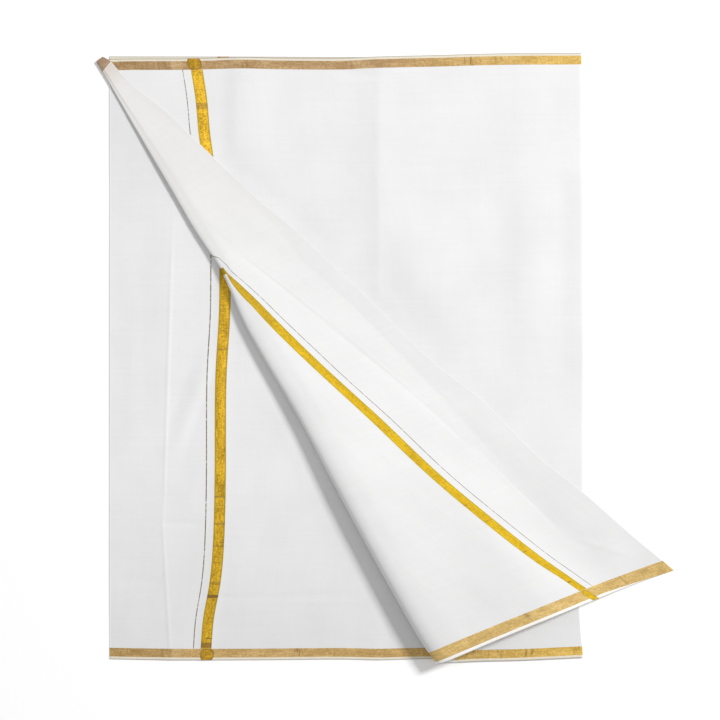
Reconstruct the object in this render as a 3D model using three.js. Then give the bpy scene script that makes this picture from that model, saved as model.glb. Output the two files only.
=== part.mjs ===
// A white cotton lungi with gold woven borders, laid out flat: one woven length, doubled
// across its middle, with the lower left corner of the upper half turned over to the right.
//
// Millimetres, +Z up. X runs to the right and Y away from the wearer's hem, and the part
// lies on the plane Z = 0. Every place on the cloth has two cloth coordinates:
//   u  the distance from the nearer cut end, along the length
//   v  the distance from the selvedge at the far side, across the width
import * as THREE from 'three';

// ---------------------------------------------------------------- driving dimensions
const clothWidth = 1270;      // selvedge to selvedge
const halfLength = 996;       // cut end to the side fold
const wall = 1.2;             // thickness of the cloth's solids
const gap = 0.3;              // between neighbouring solids, and between layers
const borderWidth = 24;       // gold border with its narrow white selvedge
const bandCentre = 236;       // the gold cross band, from the cut end
const bandWidth = 24;
const cutEndX = -580.8;       // the lower half's cut end
const widthSteps = 30;        // steps across the width
const fieldSteps = 6;         // steps along a field of one half
const tipClearX = 455;        // the turned corner comes down to the table past here
const tipDrop = 50;           // over this distance
const bandGather = 14;        // the width to which the roll's crest gathers the cross band
const cornerBow = 4;          // how far the corner's near hem bows towards the turn

const layerStep = wall + gap;
const lowerMid = wall / 2;
const upperMid = lowerMid + layerStep;
const cornerMid = upperMid + layerStep;
const bandNear = bandCentre - bandWidth / 2;
const bandFar = bandCentre + bandWidth / 2;

const cotton = { color: 0xecebea, roughness: 0.92, metalness: 0 };
const zariBorder = { color: 0xc39a5a, roughness: 0.5, metalness: 0.35 };
const zariBand = { color: 0xd3a92c, roughness: 0.45, metalness: 0.4 };

// ---------------------------------------------------------------- short tables
// The far selvedge of each half, left to right.
const lowerFarHem = [
  { x: -581, y: 636 },
  { x: -300, y: 635.5 },
  { x: 0, y: 634.5 },
  { x: 418, y: 636 },
];
const upperFarHem = [
  { x: -609, y: 624.5 },
  { x: -578, y: 630 },
  { x: -411, y: 631.5 },
  { x: -306, y: 634 },
  { x: -222, y: 632.5 },
  { x: -95, y: 632 },
  { x: -21, y: 635 },
  { x: 116, y: 638.5 },
  { x: 243, y: 642 },
  { x: 418, y: 643 },
];
// The near selvedge of each half, left to right.
const lowerNearHem = [
  { x: -581, y: -635 },
  { x: -449, y: -637 },
  { x: -285, y: -637 },
  { x: -95, y: -635.5 },
  { x: -10, y: -637 },
  { x: 53, y: -635.5 },
  { x: 418, y: -630 },
];
const upperNearHem = [
  { x: -609, y: -634.5 },
  { x: 60, y: -635.5 },
  { x: 109, y: -643.15 },
  { x: 158, y: -641.5 },
  { x: 200, y: -639.5 },
  { x: 285, y: -637.5 },
  { x: 418, y: -631.5 },
];
// The outermost line of the side fold.
const sideFoldEdge = [
  { v: 0, x: 414.5 },
  { v: 308, x: 417.5 },
  { v: 730, x: 418.5 },
  { v: 1067, x: 414.5 },
  { v: 1169, x: 411 },
  { v: 1257, x: 417 },
  { v: 1270, x: 417 },
];
// How far the weave is pulled askew at the cross band, so that the band bows.
const lowerSkew = [
  { v: 0, shift: 7 },
  { v: 514, shift: 7 },
  { v: 683, shift: -2 },
  { v: 894, shift: -3 },
  { v: 1020, shift: -6 },
  { v: 1105, shift: -13 },
  { v: 1189, shift: -28 },
  { v: 1270, shift: -36 },
];
const upperSkew = [
  { v: 0, shift: -56 },
  { v: 84, shift: -43 },
  { v: 169, shift: -35 },
  { v: 316, shift: -12 },
  { v: 412, shift: 8 },
  { v: 600, shift: 8 },
  { v: 1270, shift: 0 },
];
// The outer line of the rolled turn, how high the roll stands over the upper half, half its
// width in plan, and how far the cloth takes to come down behind its crest.
const turnEdge = [
  { v: 0, x: -608.5, rise: 3, reach: 2, fall: 11 },
  { v: 93, x: -557, rise: 4, reach: 5, fall: 36 },
  { v: 207, x: -491.5, rise: 5, reach: 8, fall: 76 },
  { v: 283, x: -447, rise: 6, reach: 9, fall: 98 },
  { v: 359, x: -403.5, rise: 7, reach: 9, fall: 120 },
  { v: 412, x: -369, rise: 8, reach: 7, fall: 135 },
  { v: 442, x: -349, rise: 10, reach: 6, fall: 145 },
  { v: 490, x: -327, rise: 12, reach: 8, fall: 155 },
  { v: 539, x: -307, rise: 13, reach: 12, fall: 175 },
  { v: 587, x: -283, rise: 15, reach: 15, fall: 190 },
  { v: 765, x: -179, rise: 21, reach: 24, fall: 240 },
  { v: 945, x: -84, rise: 27, reach: 28, fall: 300 },
  { v: 1124, x: 14, rise: 31, reach: 32, fall: 360 },
  { v: 1221, x: 72.5, rise: 33, reach: 34, fall: 390 },
  { v: 1270, x: 109, rise: 34, reach: 35, fall: 400 },
];
// The turned corner's cut end.
const cornerEdge = [
  { v: 0, x: -595, y: 635 },
  { v: 24, x: -578, y: 624.5 },
  { v: 46, x: -559, y: 603 },
  { v: 83, x: -525, y: 569.5 },
  { v: 143, x: -464, y: 523 },
  { v: 224, x: -390, y: 450.5 },
  { v: 360, x: -263.5, y: 331 },
  { v: 430, x: -194, y: 274 },
  { v: 624, x: -12.5, y: 103.5 },
  { v: 748, x: 101.5, y: -8.5 },
  { v: 850, x: 204.5, y: -88.5 },
  { v: 980, x: 323, y: -207 },
  { v: 1077, x: 420, y: -285 },
  { v: 1187, x: 525.5, y: -377.5 },
  { v: 1249, x: 588.5, y: -430 },
  { v: 1270, x: 609, y: -448 },
];
// The cross band on the turned corner: how far its edges lie from the roll's crest, along
// the line v. It starts as a point, where the roll gathers it.
const cornerBand = [
  { v: 447, inner: 0, outer: 0 },
  { v: 460, inner: 0, outer: 3 },
  { v: 475, inner: 0.5, outer: 9.5 },
  { v: 490, inner: 3, outer: 16.5 },
  { v: 515, inner: 10.6, outer: 27.5 },
  { v: 539, inner: 19, outer: 36.5 },
  { v: 587, inner: 31.4, outer: 51.2 },
  { v: 700, inner: 64.5, outer: 84 },
  { v: 830, inner: 112, outer: 132 },
  { v: 945, inner: 157, outer: 176 },
  { v: 1060, inner: 209, outer: 227.5 },
  { v: 1170, inner: 264, outer: 280 },
  { v: 1221, inner: 295, outer: 307.5 },
  { v: 1270, inner: 320.5, outer: 334 },
];
// Soft folds in the turned corner: a ridge from one place to another, its height, and half
// its width. Each dies away at both ends.
const cornerFolds = [
  { fromX: -290, fromY: 235, toX: 470, toY: -345, height: 4, halfWidth: 42 },
  { fromX: -290, fromY: 150, toX: 390, toY: -400, height: 4, halfWidth: 40 },
  { fromX: 60, fromY: -120, toX: 290, toY: -590, height: 7, halfWidth: 62 },
  { fromX: 220, fromY: -360, toX: 430, toY: -560, height: 4, halfWidth: 45 },
];

// ---------------------------------------------------------------- reading a table
// A smooth curve through a table's rows: column `want` where column `by` is `at`.
function read(table, by, at, want) {
  const last = table.length - 1;
  let i = 0;
  while (i < last - 1 && at > table[i + 1][by]) i += 1;
  const slope = (k) => {
    const before = table[Math.max(k - 1, 0)];
    const after = table[Math.min(k + 1, last)];
    return (after[want] - before[want]) / (after[by] - before[by]);
  };
  const from = table[i];
  const to = table[i + 1];
  const span = to[by] - from[by];
  const t = THREE.MathUtils.clamp((at - from[by]) / span, 0, 1);
  const ease = t * t * (3 - 2 * t);
  const start = slope(i) * span * t * (1 - t) * (1 - t);
  const end = slope(i + 1) * span * t * t * (1 - t);
  return from[want] * (1 - ease) + to[want] * ease + start - end;
}

// 1 at zero, falling smoothly to 0 at one.
function fade(t) {
  return t >= 1 ? 0 : (1 + Math.cos(Math.PI * Math.max(t, 0))) / 2;
}

// ---------------------------------------------------------------- places on the cloth
// Each gives a point at the middle of the cloth's thickness, with its upper normal.
const up = new THREE.Vector3(0, 0, 1);
const foldReach = (upperMid - lowerMid) / 2;

function sideFoldX(v) {
  return read(sideFoldEdge, 'v', v, 'x') - wall / 2 - foldReach;
}

function hemPlace(x, v, farHem, nearHem) {
  const far = read(farHem, 'x', x, 'y');
  const near = read(nearHem, 'x', x, 'y');
  return THREE.MathUtils.lerp(far, near, v / clothWidth);
}

function lowerPlace(u, v) {
  const pull = Math.min(u / bandCentre, (halfLength - u) / (halfLength - bandCentre));
  const x = THREE.MathUtils.lerp(cutEndX, sideFoldX(v), u / halfLength)
    + read(lowerSkew, 'v', v, 'shift') * pull;
  const y = hemPlace(x, v, lowerFarHem, lowerNearHem);
  return { point: new THREE.Vector3(x, y, lowerMid), normal: up };
}

function upperPlace(u, v) {
  const pull = Math.min(1, (halfLength - u) / (halfLength - bandCentre));
  const x = THREE.MathUtils.lerp(cutEndX, sideFoldX(v), u / halfLength)
    + read(upperSkew, 'v', v, 'shift') * pull;
  const y = hemPlace(x, v, upperFarHem, upperNearHem);
  return { point: new THREE.Vector3(x, y, upperMid), normal: up };
}

// Round the side fold, t from 0 at the lower half to 1 at the upper half.
function sideFoldPlace(t, v) {
  const lower = lowerPlace(halfLength, v).point;
  const upper = upperPlace(halfLength, v).point;
  const angle = Math.PI * t;
  const point = lower.clone().lerp(upper, (1 - Math.cos(angle)) / 2);
  point.x += foldReach * Math.sin(angle);
  const normal = new THREE.Vector3(Math.sin(angle), 0, -Math.cos(angle));
  return { point, normal };
}

// The turn's outer line at v, with the directions along it and across to the right.
function turnStart(v) {
  const x = read(turnEdge, 'v', v, 'x');
  const y = hemPlace(x, v, upperFarHem, upperNearHem);
  const step = 10;
  const ahead = Math.min(v + step, clothWidth);
  const behind = ahead - 2 * step < 0 ? 0 : ahead - 2 * step;
  const xAhead = read(turnEdge, 'v', ahead, 'x');
  const xBehind = read(turnEdge, 'v', behind, 'x');
  const along = new THREE.Vector3(xAhead - xBehind, behind - ahead, 0).normalize();
  const across = new THREE.Vector3(-along.y, along.x, 0);
  return { edge: new THREE.Vector3(x, y, upperMid), along, across };
}

// The upper half's cloth coordinate u at a place x on the line v.
function upperU(x, v) {
  const stretch = (sideFoldX(v) - cutEndX) / halfLength;
  const shift = read(upperSkew, 'v', v, 'shift');
  const u = (x - cutEndX - shift) / stretch;
  if (u <= bandCentre) return u;
  const rest = halfLength - bandCentre;
  return (x - cutEndX - shift * halfLength / rest) / (stretch - shift / rest);
}

// Where the turn's outer line cuts the line v, and where the upper half leaves the table for it.
function turnU(v) {
  return upperU(read(turnEdge, 'v', v, 'x'), v);
}

function upperStartU(v) {
  const { edge, across } = turnStart(v);
  return upperU(edge.x + read(turnEdge, 'v', v, 'reach') / across.x, v);
}

function turnPlace(t, v) {
  const { edge, along, across } = turnStart(v);
  const rise = read(turnEdge, 'v', v, 'rise');
  const reach = read(turnEdge, 'v', v, 'reach');
  const end = cornerEnd(v).sub(edge).setZ(0);
  const aside = new THREE.Vector3(-end.y, end.x, 0).normalize();
  end.addScaledVector(aside, 4 * bowAt(v)).normalize();
  const leanBelow = along.x / across.x;
  const leanAbove = end.dot(along) / end.dot(across);
  const angle = Math.PI * t;
  const inward = reach * (1 - Math.sin(angle));
  const lean = inward * (t < 0.5 ? leanBelow : leanAbove);
  const point = edge.clone().addScaledVector(across, inward).addScaledVector(along, lean);
  const start = upperPlace(upperStartU(v), v).point;
  point.y += (start.y - edge.y) * (1 - t);
  point.z += rise * (1 - Math.cos(angle)) / 2;
  const normal = across.clone().multiplyScalar(-rise * Math.sin(angle) / 2);
  normal.z = -reach * Math.cos(angle);
  return { point, normal: normal.normalize() };
}

// How far the corner's line v bows at its middle.
function bowAt(v) {
  return cornerBow * (v / clothWidth) ** 2;
}

function cornerEnd(v) {
  const x = read(cornerEdge, 'v', v, 'x');
  const y = read(cornerEdge, 'v', v, 'y');
  return new THREE.Vector3(x, y, cornerMid);
}

// The height that the soft folds add at a place in plan.
function foldHeight(x, y) {
  let height = 0;
  for (const fold of cornerFolds) {
    const runX = fold.toX - fold.fromX;
    const runY = fold.toY - fold.fromY;
    const run = Math.hypot(runX, runY);
    const along = ((x - fold.fromX) * runX + (y - fold.fromY) * runY) / (run * run);
    const aside = Math.abs((x - fold.fromX) * runY - (y - fold.fromY) * runX) / run;
    height += fold.height * fade(aside / fold.halfWidth) * fade(Math.abs(2 * along - 1));
  }
  return height;
}

// On the turned corner, q from 0 at the roll's crest to 1 at the cut end.
function cornerPlace(q, v) {
  const crest = turnPlace(1, v).point;
  const end = cornerEnd(v);
  const point = crest.clone().lerp(end, q);
  const aside = new THREE.Vector3(crest.y - end.y, end.x - crest.x, 0).normalize();
  point.addScaledVector(aside, 4 * bowAt(v) * q * (1 - q));
  const away = Math.hypot(point.x - crest.x, point.y - crest.y);
  const down = fade(away / read(turnEdge, 'v', v, 'fall'));
  const table = fade((point.x - tipClearX) / tipDrop);
  point.z = THREE.MathUtils.lerp(lowerMid, cornerMid, table)
    + (crest.z - cornerMid) * down + foldHeight(point.x, point.y) * (1 - down) * table;
  return { point, normal: up };
}

// The line v where a growing measure of the cloth, such as turnU, reaches a size.
function lineWhere(measure, size) {
  let low = borderWidth;
  let high = clothWidth - borderWidth;
  for (let i = 0; i < 40; i += 1) {
    const middle = (low + high) / 2;
    if (measure(middle) < size) low = middle;
    else high = middle;
  }
  return low;
}

// ---------------------------------------------------------------- solids
const half = gap / 2;
const bandMeetsTurn = lineWhere(turnU, bandNear);
const bandLeavesTurn = bandMeetsTurn + bandGather;
const upperBandMeets = lineWhere(upperStartU, bandNear);
const upperBandLeaves = lineWhere(upperStartU, bandFar);
const cornerBandStarts = lineWhere((v) => read(cornerBand, 'v', v, 'outer'), 5);
const cornerFieldStarts = lineWhere((v) => read(cornerBand, 'v', v, 'inner'), 4);

// The lines v that all the pieces share, so that their edges match at the seams.
const sharedLines = [
  bandMeetsTurn, bandLeavesTurn, upperBandMeets, upperBandLeaves,
  cornerBandStarts, cornerFieldStarts,
];
for (let i = 1; i < widthSteps; i += 1) sharedLines.push(clothWidth * i / widthSteps);
sharedLines.sort((a, b) => a - b);

function linesBetween(from, to) {
  const inside = sharedLines.filter((v) => v > from + 2 && v < to - 2);
  return [from + half, ...inside, to - half];
}

// A closed wall: `place` gives its middle surface over the lines v and, across each line,
// over spans that follow each other, each with its own number of steps.
function clothWall(name, finish, lines, spans, place) {
  const stations = (v) => spans.flatMap(({ from, to, steps }, k) => {
    const first = k === 0 ? 0 : 1;
    const count = steps + 1 - first;
    return Array.from({ length: count }, (_, j) => (
      THREE.MathUtils.lerp(from(v), to(v), (j + first) / steps)));
  });
  const outer = [];
  const inner = [];
  for (const v of lines) {
    for (const at of stations(v)) {
      const { point, normal } = place(at, v);
      outer.push(point.clone().addScaledVector(normal, wall / 2));
      inner.push(point.clone().addScaledVector(normal, -wall / 2));
    }
  }
  const rows = lines.length;
  const columns = outer.length / rows;
  const faces = [];
  const quad = (a, b, c, d) => faces.push(a, b, c, a, c, d);
  const count = outer.length;
  for (let i = 0; i < rows - 1; i += 1) {
    for (let j = 0; j < columns - 1; j += 1) {
      const a = i * columns + j;
      const below = a + columns;
      quad(a, below, below + 1, a + 1);
      quad(count + a, count + a + 1, count + below + 1, count + below);
    }
  }
  const rim = [];
  for (let j = 0; j < columns - 1; j += 1) rim.push(j);
  for (let i = 0; i < rows - 1; i += 1) rim.push(i * columns + columns - 1);
  for (let j = columns - 1; j > 0; j -= 1) rim.push((rows - 1) * columns + j);
  for (let i = rows - 1; i > 0; i -= 1) rim.push(i * columns);
  rim.forEach((a, k) => {
    const b = rim[(k + 1) % rim.length];
    quad(a, b, count + b, count + a);
  });
  const geometry = new THREE.BufferGeometry();
  const places = [...outer, ...inner].flatMap((p) => [p.x, p.y, p.z]);
  geometry.setAttribute('position', new THREE.Float32BufferAttribute(places, 3));
  geometry.setIndex(faces);
  geometry.computeVertexNormals();
  const mesh = new THREE.Mesh(geometry, new THREE.MeshStandardMaterial(finish));
  mesh.name = name;
  return mesh;
}

// From selvedge to selvedge: gold border, white ground, gold border.
const ground = linesBetween(borderWidth, clothWidth - borderWidth);
const farBorder = [0, borderWidth - half];
const nearBorder = [clothWidth - borderWidth + half, clothWidth];
const fixed = (value) => () => value;

function lowerStretch() {
  const piece = new THREE.Group();
  const start = fixed(0);
  const end = fixed(halfLength - half);
  const add = (part, finish, lines, spans) => piece.add(
    clothWall(`lower_${part}`, finish, lines, spans, lowerPlace),
  );
  const border = [
    { from: start, to: fixed(bandNear), steps: 1 },
    { from: fixed(bandNear), to: fixed(bandFar), steps: 1 },
    { from: fixed(bandFar), to: end, steps: fieldSteps },
  ];
  add('border_far', zariBorder, farBorder, border);
  add('end_strip', cotton, ground, [{ from: start, to: fixed(bandNear - half), steps: 1 }]);
  add('cross_band', zariBand, ground,
    [{ from: fixed(bandNear + half), to: fixed(bandFar - half), steps: 1 }]);
  add('field', cotton, ground,
    [{ from: fixed(bandFar + half), to: end, steps: fieldSteps }]);
  add('border_near', zariBorder, nearBorder, border);
  return piece;
}

function sideFold() {
  const piece = new THREE.Group();
  const inset = half / (Math.PI * foldReach);
  const around = [{ from: fixed(1 - inset), to: fixed(inset), steps: 4 }];
  const add = (part, finish, lines) => piece.add(
    clothWall(`side_fold_${part}`, finish, lines, around, sideFoldPlace),
  );
  add('border_far', zariBorder, farBorder);
  add('field', cotton, ground);
  add('border_near', zariBorder, nearBorder);
  return piece;
}

function upperStretch() {
  const piece = new THREE.Group();
  const start = (v) => upperStartU(v) + half;
  const end = fixed(halfLength - half);
  const later = (u) => (v) => Math.max(start(v), u);
  const add = (part, finish, lines, spans) => piece.add(
    clothWall(`upper_${part}`, finish, lines, spans, upperPlace),
  );
  add('border_far', zariBorder, farBorder, [
    { from: start, to: fixed(bandNear), steps: 3 },
    { from: fixed(bandNear), to: fixed(bandFar), steps: 1 },
    { from: fixed(bandFar), to: end, steps: fieldSteps },
  ]);
  add('end_strip', cotton, linesBetween(borderWidth, upperBandMeets),
    [{ from: start, to: fixed(bandNear - half), steps: 3 }]);
  add('cross_band', zariBand, linesBetween(borderWidth, upperBandLeaves),
    [{ from: later(bandNear + half), to: fixed(bandFar - half), steps: 1 }]);
  add('field', cotton, ground, [{ from: later(bandFar + half), to: end, steps: fieldSteps }]);
  add('border_near', zariBorder, nearBorder, [{ from: start, to: end, steps: fieldSteps }]);
  return piece;
}

function rolledTurn() {
  const piece = new THREE.Group();
  const inset = (v) => half / (3 * read(turnEdge, 'v', v, 'reach'));
  const around = [{ from: inset, to: (v) => 1 - inset(v), steps: 8 }];
  const add = (part, finish, lines) => piece.add(
    clothWall(`turn_${part}`, finish, lines, around, turnPlace),
  );
  add('border_far', zariBorder, farBorder);
  add('end_strip', cotton, linesBetween(borderWidth, bandMeetsTurn));
  add('cross_band', zariBand, linesBetween(bandMeetsTurn, bandLeavesTurn));
  add('field', cotton, linesBetween(bandLeavesTurn, clothWidth - borderWidth));
  add('border_near', zariBorder, nearBorder);
  return piece;
}

function turnedCorner() {
  const piece = new THREE.Group();
  const width = (v) => cornerPlace(0, v).point.distanceTo(cornerPlace(1, v).point);
  const inset = (v) => half / width(v);
  const bandEdge = (side, v) => read(cornerBand, 'v', v, side) / width(v);
  const beyond = (side) => (v) => bandEdge(side, v) + inset(v);
  const before = (side) => (v) => bandEdge(side, v) - inset(v);
  const end = fixed(1);
  const add = (part, finish, lines, from, to, steps) => piece.add(
    clothWall(`corner_${part}`, finish, lines, [{ from, to, steps }], cornerPlace),
  );
  const bandLines = linesBetween(cornerBandStarts, clothWidth - borderWidth);
  const fieldLines = linesBetween(cornerFieldStarts, clothWidth - borderWidth);
  add('border_far', zariBorder, farBorder, inset, end, 3);
  add('end_strip', cotton, ground, beyond('outer'), end, 6);
  add('cross_band', zariBand, bandLines, beyond('inner'), before('outer'), 1);
  add('field', cotton, fieldLines, inset, before('inner'), 8);
  add('border_near', zariBorder, nearBorder, inset, end, 14);
  return piece;
}

const lungi = new THREE.Group();
lungi.add(lowerStretch(), sideFold(), upperStretch(), rolledTurn(), turnedCorner());

export default lungi;
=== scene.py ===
# %% [markdown]
# # A cotton lungi, folded once, one corner turned over
# The garment is one woven length with no seams. It is folded across its middle and laid
# flat, and the lower left corner of the upper half is rolled over to the right. We dress the
# packed solids with thin shells of cloth, one set for each stretch: the white ground, the
# gold borders woven along the selvedges, and the gold cross band near each cut end.

# %% Load the frame
import math

import bpy
import numpy as np
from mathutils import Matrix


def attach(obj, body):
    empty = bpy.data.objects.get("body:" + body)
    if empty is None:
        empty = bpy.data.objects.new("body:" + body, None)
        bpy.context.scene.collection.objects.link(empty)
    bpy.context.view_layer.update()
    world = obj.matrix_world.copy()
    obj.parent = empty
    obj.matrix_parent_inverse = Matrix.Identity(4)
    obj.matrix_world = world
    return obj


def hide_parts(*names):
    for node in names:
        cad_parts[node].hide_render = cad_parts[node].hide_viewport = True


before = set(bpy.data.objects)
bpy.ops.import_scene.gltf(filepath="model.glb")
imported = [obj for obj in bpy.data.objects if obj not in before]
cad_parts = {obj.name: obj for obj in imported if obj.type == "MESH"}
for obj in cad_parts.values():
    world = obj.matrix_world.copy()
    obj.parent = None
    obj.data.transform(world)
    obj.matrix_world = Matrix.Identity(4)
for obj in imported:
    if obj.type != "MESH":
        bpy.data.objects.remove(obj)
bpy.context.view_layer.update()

# %% [markdown]
# ## The cut
# Cloth is easiest to describe flat, before it is folded. Every place has two cloth
# coordinates, in millimetres: u is the distance from the nearer cut end, along the length,
# and v is the distance from the far selvedge, across the width. A border or a band is then
# a plain number, however the cloth lies.

# %% Sizes of the cut
MM = 0.001
CLOTH_WIDTH = 1270.0
HALF_LENGTH = 996.0
WALL = 1.2
LAYER_STEP = 1.5
BORDER_WIDTH = 24.0
BAND_CENTRE = 236.0
BAND_WIDTH = 24.0
BAND_NEAR = BAND_CENTRE - BAND_WIDTH / 2
BAND_FAR = BAND_CENTRE + BAND_WIDTH / 2
LOWER_MID = WALL / 2
UPPER_MID = LOWER_MID + LAYER_STEP
CORNER_MID = UPPER_MID + LAYER_STEP
print("cut:", CLOTH_WIDTH, "by", 2 * HALF_LENGTH, "mm")

# %% [markdown]
# ## Where the folded cloth lies
# The outline has a few soft bends, so short tables hold it, a row for each place that
# matters, and `read` draws a smooth curve through the rows. The same outline shapes the
# solids.

# %% Tables with named columns
def table(columns, *rows):
    return {name: np.array(values, float) for name, values in zip(columns.split(), zip(*rows))}


LOWER_FAR_HEM = table("x y", (-581, 636), (-300, 635.5), (0, 634.5), (418, 636))
UPPER_FAR_HEM = table(
    "x y", (-609, 624.5), (-578, 630), (-411, 631.5), (-306, 634), (-222, 632.5),
    (-95, 632), (-21, 635), (116, 638.5), (243, 642), (418, 643),
)
LOWER_NEAR_HEM = table(
    "x y", (-581, -635), (-449, -637), (-285, -637), (-95, -635.5), (-10, -637),
    (53, -635.5), (418, -630),
)
UPPER_NEAR_HEM = table(
    "x y", (-609, -634.5), (60, -635.5), (109, -643.15), (158, -641.5), (200, -639.5),
    (285, -637.5), (418, -631.5),
)
SIDE_FOLD_EDGE = table(
    "v x", (0, 414.5), (308, 417.5), (730, 418.5), (1067, 414.5), (1169, 411),
    (1257, 417), (1270, 417),
)
LOWER_SKEW = table(
    "v shift", (0, 7), (514, 7), (683, -2), (894, -3), (1020, -6), (1105, -13),
    (1189, -28), (1270, -36),
)
UPPER_SKEW = table(
    "v shift", (0, -56), (84, -43), (169, -35), (316, -12), (412, 8), (600, 8), (1270, 0),
)
print("hem rows:", len(LOWER_FAR_HEM["x"]), len(UPPER_FAR_HEM["x"]))

# %% [markdown]
# ## Where the turn and the corner lie
# The turn's line is measured at places down the width: how far left it is, how high the roll
# stands there, how far behind the outer line its crest is, and how far the cloth takes to
# come down behind the crest. The corner's free edge and the band on it are measured in the
# same way, the band by its distance from the crest.

# %% Tables of the turn and the corner
TURN_EDGE = table(
    "v x rise reach fall",
    (0, -608.5, 1.7, 2, 11), (93, -557, 2.4, 5, 36), (207, -491.5, 4.5, 10, 76),
    (283, -447, 6, 14, 98), (359, -403.5, 7, 15, 120), (412, -369, 8, 11, 135),
    (442, -349, 10, 7, 145), (490, -327, 12, 9, 155), (539, -307, 13, 18, 175),
    (587, -283, 15, 25, 190), (765, -179, 21, 31, 240), (945, -84, 27, 31, 300),
    (1124, 14, 30, 32, 360), (1221, 72.5, 31.5, 34, 390), (1270, 109, 31.5, 35, 400),
)
CORNER_EDGE = table(
    "v x y",
    (0, -595, 635), (24, -578, 624.5), (46, -559, 603), (83, -525, 569.5),
    (143, -464, 523), (224, -390, 450.5), (360, -263.5, 331), (430, -194, 274),
    (624, -12.5, 103.5), (748, 101.5, -8.5), (850, 204.5, -88.5), (980, 323, -207),
    (1077, 420, -285), (1187, 525.5, -377.5), (1249, 588.5, -430), (1270, 609, -448),
)
CORNER_BAND = table(
    "v inner outer", (447, 0, 0), (460, 0, 3), (475, 0.5, 9.5), (490, 2.4, 16),
    (515, 7, 24.2), (539, 13, 30.8), (587, 21.8, 41.6), (700, 56.5, 76),
    (830, 106, 126.3), (945, 154, 174), (1060, 207.5, 228), (1170, 263, 282),
    (1221, 293.5, 309.5), (1270, 319, 335.5),
)
print("turn rows:", len(TURN_EDGE["v"]), "corner rows:", len(CORNER_EDGE["v"]))

# %% Reading a table
def read(rows, by, at, want):
    """The wanted column at a place of another, on a smooth curve through the rows."""
    xs, ys = rows[by], rows[want]
    last = len(xs) - 1
    k = np.clip(np.searchsorted(xs, at, side="left") - 1, 0, last - 1)
    index = np.arange(last + 1)
    before, after = np.maximum(index - 1, 0), np.minimum(index + 1, last)
    slopes = (ys[after] - ys[before]) / (xs[after] - xs[before])
    span = xs[k + 1] - xs[k]
    t = np.clip((at - xs[k]) / span, 0, 1)
    ease = t * t * (3 - 2 * t)
    start = slopes[k] * span * t * (1 - t) ** 2
    end = slopes[k + 1] * span * t * t * (1 - t)
    return ys[k] * (1 - ease) + ys[k + 1] * ease + start - end


def fade(t):
    """1 at 0, falling in a soft curve to 0 at 1."""
    return np.where(t >= 1, 0.0, (1 + np.cos(np.pi * np.clip(t, 0, 1))) / 2)


print("turn at mid width:", round(float(read(TURN_EDGE, "v", 635.0, "x")), 1), "mm")

# %% [markdown]
# ## Creases
# Cotton that has been packed keeps pressed creases: a thin sharp line, with the cloth easing
# away from it on either side. Where the cloth has been moved since, it has soft folds, wide
# and round. Each row is one crease: where it runs, how high it stands, and how far it takes
# to die away on its left and on its right as you walk along it. A height under zero is a
# trough. Their lengths, depths and spacing are uneven, as a hand has left them.
# The lower half keeps one long pressed crease near its cut end, in two lengths. Each has a
# thin sharp ridge on it, and shallow troughs run across.

# %% Creases of the lower half
CREASE = "from_x from_y to_x to_y height left right"
LOWER_PRESSED = table(
    CREASE,
    (-448, 380, -472, -440, 1.4, 60, 120),
    (-446.5, 330, -469, -400, 0.7, 6, 5),
    (-474, -250, -446, -700, 0.9, 80, 120),
    (-472, -300, -450, -690, 0.6, 6, 5),
    (-18, -500, -18, -660, 0.6, 30, 60),
    (-480, -348, -378, -349, -0.8, 9, 10),
    (-465, -506, -20, -500, -0.75, 9, 12),
    (-580, -464, -462, -469, -0.35, 8, 12),
)
LOWER_SOFT = table(
    CREASE,
    (-350, 50, -462, -240, 1.7, 26, 34),
    (-340, 200, -255, -10, 1.3, 20, 50),
    (-280, 50, 40, -560, 0.9, 30, 70),
    (-540, 320, -530, -220, 0.3, 30, 30),
    (-500, -400, -560, -660, 0.4, 40, 34),
    (-330, -220, -300, -620, 0.6, 60, 60),
)
print("lower half:", len(LOWER_PRESSED["height"]), "pressed,", len(LOWER_SOFT["height"]), "soft")

# %% [markdown]
# A pressed crease runs down the middle of the upper half, from the far hem until the turned
# corner covers it, and a faint one meets it from the side fold.

# %% Creases of the upper half
UPPER_PRESSED = table(
    CREASE,
    (-14, 740, -14, 60, 3.0, 320, 70),
    (-14, 600, -14, 120, 0.14, 4, 4),
    (-10, 361, 418, 360, 0.12, 10, 16),
)
UPPER_SOFT = table(
    CREASE,
    (0, 305, 195, -10, 2.0, 120, 80),
    (302, 470, 300, -20, 1.4, 85, 63),
    (417, 470, 416, -120, 1.3, 20, 50),
    (-302, 700, -310, 380, 2.2, 90, 42),
    (-350, 430, -80, 196, -0.5, 44, 30),
    (-110, 597, 20, 597, -0.6, 16, 14),
)
print("upper half:", len(UPPER_PRESSED["height"]), "pressed,", len(UPPER_SOFT["height"]), "soft")

# %% [markdown]
# One long trough runs along the turned corner, in several lengths that don't quite meet,
# with faint ridges beside it. Towards the near hem the cloth is softly gathered.

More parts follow.
